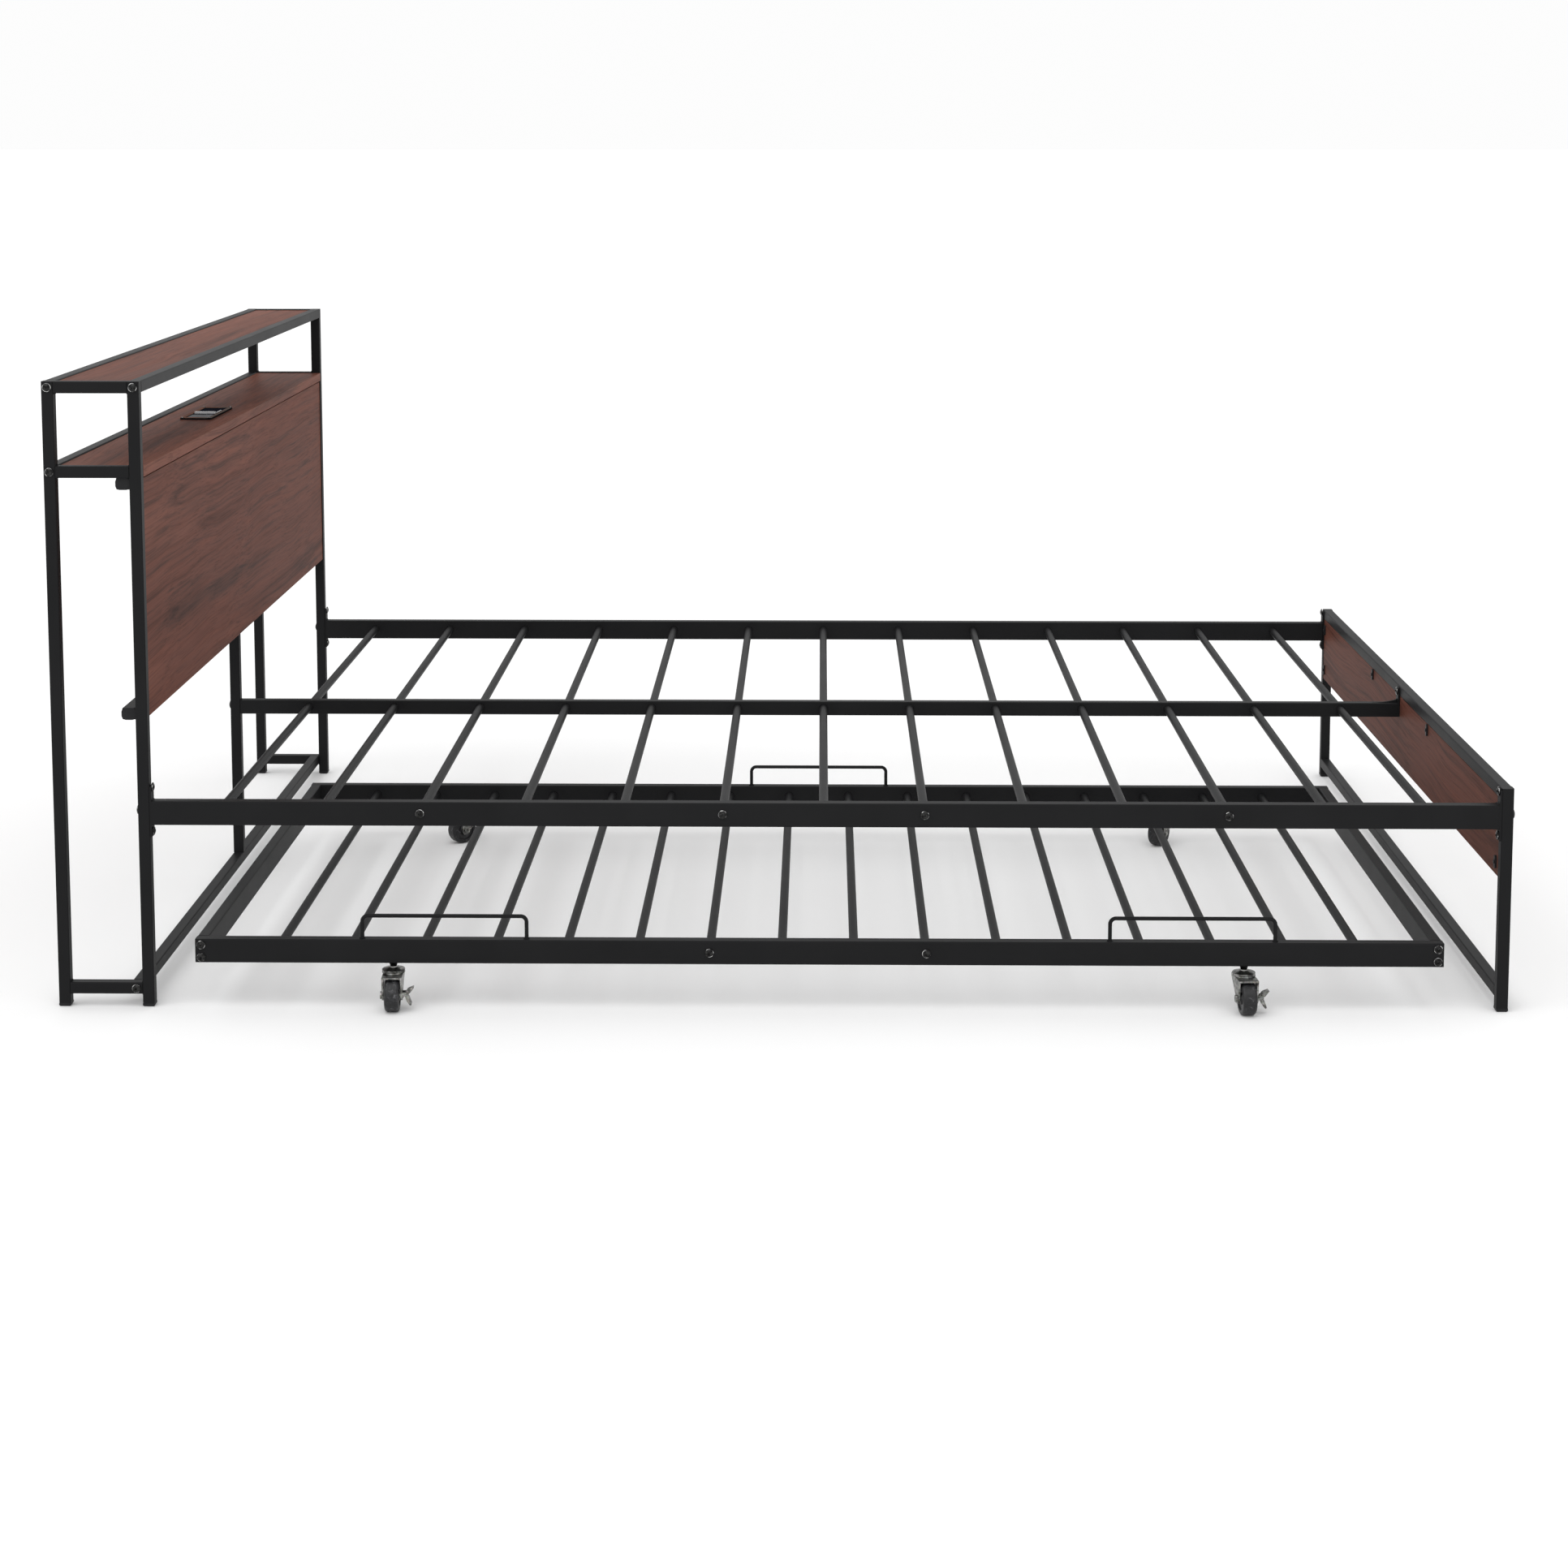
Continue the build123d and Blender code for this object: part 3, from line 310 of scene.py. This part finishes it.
def bezel_plastic(middle_x):
    """Rim plate with black edges, its upward face painted with the reflection of the wood above: bronze
    in front of the middle and umber behind it.
    """
    look = Look("outlet_rim_plastic", specular=0.0)
    clouds = look.noise(look.place, scale=160.0, detail=3.0)
    # Bronze and umber are a painted reflection of the wooden shelf above the glossy black plate
    bronze = look.ramp(clouds, [(0.4, (0.195, 0.108, 0.083)), (0.7, (0.238, 0.132, 0.102))])
    umber = look.ramp(clouds, [(0.4, (0.140, 0.112, 0.100)), (0.7, (0.185, 0.150, 0.134))])
    face = look.mix(look.above(look.axis("X"), middle_x, BEZEL_BLEND), bronze, umber)
    normal = look.node("ShaderNodeNewGeometry").outputs["True Normal"]
    upward = look.node("ShaderNodeSeparateXYZ", {"Vector": normal}).outputs["Z"]
    # Only upward faces get the painted reflection; the other faces keep the plate's black
    look.colour(look.mix(look.above(upward, 0.9, 0.05), (0.010, 0.010, 0.011), face))
    look.gloss(clouds, 0.22, 0.36)
    look.bump(look.noise(look.place, scale=1600.0, detail=1.0), 0.10, 0.0001)
    return look.material


def satin_chrome():
    """Brushed bright metal of the outlet's trim."""
    look = Look("brushed_trim_metal", metallic=1.0)
    brushed = look.noise(look.stretched((30.0, 2500.0, 30.0)), detail=3.0)
    look.colour(look.ramp(brushed, [(0.3, (0.82, 0.83, 0.84)), (0.7, (0.93, 0.93, 0.94))]))
    look.gloss(brushed, 0.18, 0.34)
    look.bump(brushed, 0.05, 0.0001)
    return look.material


STEM_EDGE = 0.2 * MM


def stem_steel(low, high):
    """Caster stem: black cone nut, with the plated stem showing between the two heights."""
    look = Look("caster_stem_steel", metallic=1.0)
    grime_and_dark_reflection = look.noise(look.place, scale=200.0, detail=4.0)
    height = look.axis("Z")
    over_low, over_high = look.above(height, low, STEM_EDGE), look.above(height, high, STEM_EDGE)
    plated = look.numbers("SUBTRACT", over_low, over_high)
    black = look.ramp(grime_and_dark_reflection, [(0.4, (0.008, 0.008, 0.008)), (0.7, (0.02, 0.02, 0.02))])
    bright = look.ramp(grime_and_dark_reflection, [(0.35, (0.40, 0.40, 0.39)), (0.7, (0.66, 0.66, 0.64))])
    look.colour(look.mix(plated, black, bright))
    look.gloss(grime_and_dark_reflection, 0.22, 0.40)
    look.bump(grime_and_dark_reflection, 0.06, 0.0003)
    return look.material


LIGHT_WALNUT = (0.176, 0.067, 0.046)
MIDDLE_WALNUT = (0.138, 0.051, 0.035)
DEEP_WALNUT = (0.115, 0.045, 0.032)
DARK_WALNUT = (0.074, 0.032, 0.024)
PALE_WALNUT = (0.225, 0.094, 0.067)
WARM_WALNUT = (0.185, 0.073, 0.051)
SHADE_WALNUT = (0.115, 0.050, 0.038)

POWDER = powder_coat()
PANEL_WOOD = walnut("walnut_panel", (0.3, 0.0, 0.0), LIGHT_WALNUT, MIDDLE_WALNUT, DARK_WALNUT)
TOP_WOOD = walnut("walnut_top_shelf", (1.7, 3.1, 0.4), LIGHT_WALNUT, MIDDLE_WALNUT, SHADE_WALNUT)
SHELF_WOOD = walnut("walnut_lower_shelf", (4.2, 1.3, 2.6), PALE_WALNUT, WARM_WALNUT, SHADE_WALNUT)
FOOT_WOOD = walnut("walnut_footboard", (7.9, 5.2, 1.8), MIDDLE_WALNUT, DEEP_WALNUT, DARK_WALNUT)
ZINC = zinc()
BOLT_STEEL = black_steel()
WHEEL = wheel_plastic()
PLASTIC = black_plastic()
CHROME = satin_chrome()
GLINT_RIM = glint_rim_steel()

insert_low, insert_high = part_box("power_outlet_insert")
USB_SHARE = 0.42
split_y = insert_low.y + USB_SHARE * (insert_high.y - insert_low.y)
INSERT = outlet_plastic(split_y)
BEZEL = bezel_plastic((insert_low.x + insert_high.x) / 2)

trundle_rail_low, trundle_rail_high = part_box("trundle_front_rail")
fork_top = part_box("caster_fork_front_head")[1].z
CONE_NUT_HEIGHT = 6.5 * MM
STEM_SINK = 2 * MM
STEM = stem_steel(fork_top - STEM_SINK, trundle_rail_low.z - CONE_NUT_HEIGHT)

SPECIAL = {
    "headboard_panel": PANEL_WOOD,
    "top_shelf_board": TOP_WOOD,
    "lower_shelf_board": SHELF_WOOD,
    "footboard_panel": FOOT_WOOD,
    "power_outlet_bezel": BEZEL,
    "power_outlet_insert": INSERT,
    "power_outlet_screws": BOLT_STEEL,
    "footboard_panel_clips": PLASTIC,
}
BY_SLOT = {
    "black_powder_coat": POWDER,
    "walnut_board": PANEL_WOOD,
    "black_plastic": PLASTIC,
    "outlet_plastic": INSERT,
    "bolt_steel": BOLT_STEEL,
    "zinc": ZINC,
    "wheel_rubber": WHEEL,
}
for name, node in NODES.items():
    slot = node.data.materials[0].name.split(".")[0] if node.data.materials else ""
    chosen = SPECIAL.get(name, BY_SLOT.get(slot, POWDER))
    if name.startswith("caster_stem"):
        chosen = STEM
    for index in range(len(node.data.materials)):
        node.material_slots[index].material = chosen


# ---------------------------------------------------------------- softened edges


EDGE_SEGMENTS = 2
EDGE_ANGLE = 35.0
BOARD_EDGE = 0.7 * MM
BEZEL_EDGE = 0.6 * MM
CLIP_EDGE = 0.4 * MM


def soften(name, width):
    """Small rounded edges on a sharp-cornered CAD node."""
    bevel = NODES[name].modifiers.new("soft_edges", "BEVEL")
    bevel.width = width
    bevel.segments = EDGE_SEGMENTS
    bevel.limit_method = "ANGLE"
    bevel.angle_limit = math.radians(EDGE_ANGLE)
    bevel.harden_normals = True


for board in ("headboard_panel", "top_shelf_board", "lower_shelf_board", "footboard_panel"):
    soften(board, BOARD_EDGE)
soften("power_outlet_bezel", BEZEL_EDGE)
soften("footboard_panel_clips", CLIP_EDGE)


# ---------------------------------------------------------------- added detail


def mesh_object(name, mesh_data, body, material, smooth=True):
    """A bmesh as an object that rides on a body."""
    bmesh.ops.recalc_face_normals(mesh_data, faces=mesh_data.faces)
    mesh = bpy.data.meshes.new(name)
    mesh_data.to_mesh(mesh)
    mesh_data.free()
    for polygon in mesh.polygons:
        polygon.use_smooth = smooth
    made = bpy.data.objects.new(name, mesh)
    bpy.context.scene.collection.objects.link(made)
    mesh.materials.append(material)
    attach(made, body)
    return made


def ringed_tube(mesh_data, centres, radii, across, up, sides=10, closed=False):
    """Rings of vertices along the centres, each with its own radius and two axes, bridged to a tube."""
    rings = []
    for centre, radius, side_axis, up_axis in zip(centres, radii, across, up):
        ring = []
        for step in range(sides):
            turn = TAU * step / sides
            outward = math.cos(turn) * Vector(side_axis) + math.sin(turn) * Vector(up_axis)
            ring.append(mesh_data.verts.new(Vector(centre) + radius * outward))
        rings.append(ring)
    pairs = list(zip(rings, rings[1:])) + ([(rings[-1], rings[0])] if closed else [])
    for first, second in pairs:
        for step in range(sides):
            after = (step + 1) % sides
            mesh_data.faces.new((first[step], first[after], second[after], second[step]))
    if not closed:
        mesh_data.faces.new(rings[0][::-1])
        mesh_data.faces.new(rings[-1])


# A straight bead: its step, its thinner ends, and the height and spacing of its ripples
BEAD_STEP = 0.7 * MM
BEAD_TAPER = 6
BEAD_END = 0.35
BEAD_RIPPLE = 0.13
BEAD_RIPPLE_TURN = 1.9
BEAD_UNEVEN = 0.05


def weld_line(mesh_data, start, end, radius, draws):
    """A straight weld bead with the ripples of its passes."""
    start, end = Vector(start), Vector(end)
    along = (end - start).normalized()
    side_axis = along.orthogonal().normalized()
    up_axis = along.cross(side_axis)
    steps = max(8, int((end - start).length / BEAD_STEP))
    centres, radii = [], []
    for step in range(steps + 1):
        share = step / steps
        taper = min(1.0, BEAD_TAPER * share + BEAD_END, BEAD_TAPER * (1 - share) + BEAD_END)
        wave = BEAD_RIPPLE * math.sin(share * steps * BEAD_RIPPLE_TURN)
        ripple = 1.0 + wave + draws.uniform(-BEAD_UNEVEN, BEAD_UNEVEN)
        centres.append(start.lerp(end, share))
        radii.append(radius * taper * ripple)
    count = len(centres)
    ringed_tube(mesh_data, centres, radii, [side_axis] * count, [up_axis] * count)


RING_RIPPLES = 8
RING_RIPPLE = 0.12
RING_UNEVEN = 0.06


def weld_ring(mesh_data, centre, ring_radius, radius, draws, steps=30):
    """A weld bead round a wire that stands on a flat face."""
    centres, radii, across, up = [], [], [], []
    for step in range(steps):
        turn = TAU * step / steps
        outward = Vector((math.cos(turn), math.sin(turn), 0.0))
        centres.append(Vector(centre) + ring_radius * outward)
        ripple = 1.0 + RING_RIPPLE * math.sin(RING_RIPPLES * turn)
        radii.append(radius * (ripple + draws.uniform(-RING_UNEVEN, RING_UNEVEN)))
        across.append(outward)
        up.append(Vector((0.0, 0.0, 1.0)))
    ringed_tube(mesh_data, centres, radii, across, up, closed=True)


draws = random.Random(WELD_SEED)

# Weld beads in the inner corners of the headboard's two side frames
WELD = 1.7 * MM
TUBE = 18 * MM
WELD_INSET = 3.0 * MM
WELD_LIFT = 0.2 * WELD
bed_welds = bmesh.new()
for side in ("left", "right"):
    low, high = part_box(f"headboard_side_frame_{side}")
    shelf_bar_low, shelf_bar_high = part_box("headboard_shelf_rear_rail")
    bottom_low, bottom_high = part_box("headboard_bottom_rail")
    inner_edges = (
        (high.z - TUBE, -1),
        (shelf_bar_high.z, 1),
        (shelf_bar_low.z, -1),
        (bottom_high.z, 1),
        (bottom_low.z, -1),
    )
    for seam_x in (low.x + TUBE, high.x - TUBE):
        for seam_z, direction in inner_edges:
            weld_line(
                bed_welds,
                (seam_x, low.y + WELD_INSET, seam_z + direction * WELD_LIFT),
                (seam_x, high.y - WELD_INSET, seam_z + direction * WELD_LIFT),
                WELD,
                draws,
            )

# Weld beads between the rails and their end plates
PLATE = 3.0 * MM
SIDE_RAIL_BOTTOM = 285 * MM
SIDE_RAIL_TOP = 322 * MM
for side in ("left", "right"):
    low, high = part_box(f"side_rail_{side}")
    for seam_x in (low.x + PLATE, high.x - PLATE):
        for seam_z in (SIDE_RAIL_BOTTOM, SIDE_RAIL_TOP):
            start = (seam_x, low.y + WELD_INSET, seam_z)
            end = (seam_x, high.y - WELD_INSET, seam_z)
            weld_line(bed_welds, start, end, WELD, draws)
mesh_object("weld_beads_bed", bed_welds, "bed", POWDER)

# Rings of weld at the feet of the mattress guards
GUARD_RADIUS = 3.0 * MM
GUARD_WELD = 1.1 * MM
GUARD_WELD_OUT = 0.7 * MM
GUARD_WELD_RISE = 0.4 * MM
guard_welds = bmesh.new()
for guard in ("front_head", "front_foot", "rear"):
    low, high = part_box(f"mattress_guard_{guard}")
    for foot_x in (low.x + GUARD_RADIUS, high.x - GUARD_RADIUS):
        weld_ring(
            guard_welds,
            (foot_x, (low.y + high.y) / 2, trundle_rail_high.z + GUARD_WELD_RISE),
            GUARD_RADIUS + GUARD_WELD_OUT,
            GUARD_WELD,
            draws,
        )
mesh_object("weld_beads_trundle", guard_welds, "trundle", POWDER)


# Rings on the bolt heads that carry painted highlights: the bright arcs of the polished heads
RIM_RADIUS = 6.15 * MM
RIM_WIRE = 0.65 * MM
RIM_RISE = 1.35 * MM
HEAD_REACH = 6.5 * MM
ISLAND_GAP = 0.05 * MM


def islands(mesh):
    """The separate solids of a mesh, each as a list of its corner points."""
    owner = list(range(len(mesh.vertices)))

    def root(index):
        while owner[index] != index:
            owner[index] = owner[owner[index]]
            index = owner[index]
        return index

    for edge in mesh.edges:
        first, second = root(edge.vertices[0]), root(edge.vertices[1])
        owner[first] = second
    groups = {}
    for vertex in mesh.vertices:
        groups.setdefault(root(vertex.index), []).append(vertex.co.copy())
    return list(groups.values())


def merged_islands(mesh, gap):
    """Islands joined where their boxes touch, because a solid's faces may not share corners."""
    boxes = []
    for points in islands(mesh):
        low = Vector([min(p[i] for p in points) - gap for i in range(3)])
        high = Vector([max(p[i] for p in points) + gap for i in range(3)])
        boxes.append([low, high, points])
    merged = True
    while merged:
        merged = False
        for first in range(len(boxes)):
            for second in range(first + 1, len(boxes)):
                a, b = boxes[first], boxes[second]
                if all(a[0][i] <= b[1][i] and b[0][i] <= a[1][i] for i in range(3)):
                    a[0] = Vector([min(a[0][i], b[0][i]) for i in range(3)])
                    a[1] = Vector([max(a[1][i], b[1][i]) for i in range(3)])
                    a[2] = a[2] + b[2]
                    del boxes[second]
                    merged = True
                    break
            if merged:
                break
    return [points for _, _, points in boxes]


def bolt_heads(node, axis):
    """Each bolt's (centre of the head's underside, outward direction); the bolts run along the axis."""
    found = []
    for points in merged_islands(NODES[node].data, ISLAND_GAP):
        spans = [[p[i] for p in points] for i in range(3)]
        middle = Vector([(min(span) + max(span)) / 2 for span in spans])
        others = [i for i in range(3) if i != axis]
        wide = [p for p in points if math.hypot(*(p[i] - middle[i] for i in others)) > HEAD_REACH]
        inner = min(abs(p[axis] - middle[axis]) for p in wide)
        sign = 1.0 if wide[0][axis] > middle[axis] else -1.0
        outward = Vector([sign if i == axis else 0.0 for i in range(3)])
        middle[axis] += sign * inner
        found.append((middle, outward))
    return found


def torus(mesh_data, centre, normal, radius, wire, steps=28, sides=8):
    """A plain ring about the normal."""
    first = normal.orthogonal().normalized()
    second = normal.cross(first)
    centres, across, up = [], [], []
    for step in range(steps):
        turn = TAU * step / steps
        outward = math.cos(turn) * first + math.sin(turn) * second
        centres.append(centre + radius * outward)
        across.append(outward)
        up.append(normal)
    ringed_tube(mesh_data, centres, [wire] * steps, across, up, sides=sides, closed=True)


for node, axis, body in (
    ("headboard_bolts", 1, "bed"),
    ("slat_bolts", 1, "bed"),
    ("rail_bolts", 0, "bed"),
    ("trundle_bolts", 1, "trundle"),
):
    glint_rims = bmesh.new()
    for centre, outward in bolt_heads(node, axis):
        torus(glint_rims, centre + RIM_RISE * outward, outward, RIM_RADIUS, RIM_WIRE)
    mesh_object(f"{node}_rims", glint_rims, body, GLINT_RIM)

# Pressed rings round the dome of each caster's swivel, as (height, wire radius)
DOME_RINGS = ((54.6 * MM, 0.9 * MM), (58.4 * MM, 0.7 * MM))
DOME_RING_RADIUS = 17.0 * MM
UPWARD = Vector((0.0, 0.0, 1.0))
for place in ("front_head", "front_foot", "rear_head", "rear_foot"):
    low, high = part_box(f"caster_stem_{place}")
    centre = Vector(((low.x + high.x) / 2, (low.y + high.y) / 2, 0.0))
    rings = bmesh.new()
    for height, wire in DOME_RINGS:
        torus(rings, centre + height * UPWARD, UPWARD, DOME_RING_RADIUS, wire, steps=48)
    mesh_object(f"caster_rings_{place}", rings, f"swivel_{place}", ZINC)

# Curved gusset between the centre rail and its plate on the footboard
GUSSET_LENGTH = 45 * MM
GUSSET_HEIGHT = 8 * MM
GUSSET_THICKNESS = 4 * MM
GUSSET_TOE = 0.2 * MM
GUSSET_INTO_PLATE = 0.5 * MM
GUSSET_INTO_RAIL = 1.0 * MM
GUSSET_STEPS = 12
CENTRE_RAIL_TOP = 317 * MM
low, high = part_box("centre_rail")
plate_face_x = high.x - PLATE
middle_y = (low.y + high.y) / 2
gusset = bmesh.new()
outline = [
    (plate_face_x + GUSSET_INTO_PLATE, CENTRE_RAIL_TOP - GUSSET_INTO_RAIL),
    (plate_face_x - GUSSET_LENGTH, CENTRE_RAIL_TOP - GUSSET_INTO_RAIL),
]
for step in range(GUSSET_STEPS + 1):
    turn = step / GUSSET_STEPS * math.pi / 2
    outline.append(
        (
            plate_face_x - GUSSET_LENGTH * (1 - math.sin(turn)),
            CENTRE_RAIL_TOP + GUSSET_TOE + GUSSET_HEIGHT * (1 - math.cos(turn)),
        )
    )
outline.append((plate_face_x + GUSSET_INTO_PLATE, CENTRE_RAIL_TOP + GUSSET_HEIGHT))
sheets = []
for side in (-1, 1):
    sheets.append([gusset.verts.new((x, middle_y + side * GUSSET_THICKNESS / 2, z)) for x, z in outline])
gusset.faces.new(sheets[0])
gusset.faces.new(sheets[1][::-1])
for index in range(len(outline)):
    after = (index + 1) % len(outline)
    gusset.faces.new((sheets[0][index], sheets[0][after], sheets[1][after], sheets[1][index]))
mesh_object("centre_rail_gusset", gusset, "bed", POWDER, smooth=False)


BOX_ROUNDING = 0.18


def box_piece(mesh_data, low, high):
    """An upright box with slightly rounded edges."""
    made = bmesh.ops.create_cube(mesh_data, size=1.0)
    low, high = Vector(low), Vector(high)
    size, centre = high - low, (high + low) / 2
    for vertex in made["verts"]:
        vertex.co = Vector([centre[i] + vertex.co[i] * size[i] for i in range(3)])
    edges = list({edge for vertex in made["verts"] for edge in vertex.link_edges})
    offset = BOX_ROUNDING * min(size)
    bmesh.ops.bevel(mesh_data, geom=edges, offset=offset, segments=2, affect="EDGES")


# Outlet trim: a bright strip between its two halves, and a thin one along the socket half
STRIP_INSET = 1 * MM
STRIP_HALF_WIDTH = 3.0 * MM
STRIP_RISE = 4.0 * MM
THIN_STRIP_INNER = 2.6 * MM
THIN_STRIP_SHORT = 40 * MM
THIN_STRIP_RISE = 1.6 * MM
strip = bmesh.new()
strip_bottom = insert_high.z - STRIP_INSET
strip_back = split_y + STRIP_HALF_WIDTH
box_piece(
    strip,
    (insert_low.x + STRIP_INSET, split_y - STRIP_HALF_WIDTH, strip_bottom),
    (insert_high.x - STRIP_INSET, strip_back, insert_high.z + STRIP_RISE),
)
box_piece(
    strip,
    (insert_high.x - THIN_STRIP_INNER, strip_back, strip_bottom),
    (insert_high.x - STRIP_INSET, insert_high.y - THIN_STRIP_SHORT, insert_high.z + THIN_STRIP_RISE),
)
mesh_object("power_outlet_strip", strip, "bed", CHROME, smooth=False)


# ---------------------------------------------------------------- floor, light and camera


def floor():
    look = Look("pale_floor", roughness=0.9, specular=0.1)
    look.colour((*FLOOR_WHITE, 1.0))
    mesh = bpy.data.meshes.new("floor")
    corners = [(x * FLOOR_HALF, y * FLOOR_HALF, 0.0) for x, y in ((-1, -1), (1, -1), (1, 1), (-1, 1))]
    mesh.from_pydata(corners, [], [(0, 1, 2, 3)])
    mesh.materials.append(look.material)
    made = bpy.data.objects.new("floor", mesh)
    bpy.context.scene.collection.objects.link(made)


def light():
    world = bpy.data.worlds.new("studio")
    world.use_nodes = True
    background = world.node_tree.nodes["Background"]
    background.inputs["Color"].default_value = (*WORLD_WHITE, 1.0)
    background.inputs["Strength"].default_value = WORLD_STRENGTH
    bpy.context.scene.world = world
    sun_data = bpy.data.lights.new("softbox", "SUN")
    sun_data.energy = SUN_ENERGY
    sun_data.angle = math.radians(SUN_SOFTNESS)
    sun = bpy.data.objects.new("softbox", sun_data)
    sun.rotation_euler = (math.radians(SUN_TILT[0]), math.radians(SUN_TILT[1]), 0.0)
    bpy.context.scene.collection.objects.link(sun)


def camera():
    data = bpy.data.cameras.new("camera")
    data.sensor_width = CAMERA_SENSOR
    data.lens = CAMERA_LENS
    data.shift_y = CAMERA_SHIFT_Y
    data.clip_end = 2 * FLOOR_HALF
    made = bpy.data.objects.new("camera", data)
    made.location = CAMERA_AT
    made.rotation_euler = (math.radians(90 - CAMERA_DOWN), 0.0, math.radians(CAMERA_TURN))
    bpy.context.scene.collection.objects.link(made)
    bpy.context.scene.camera = made


floor()
light()
camera()
bpy.context.scene.view_settings.view_transform = "Standard"
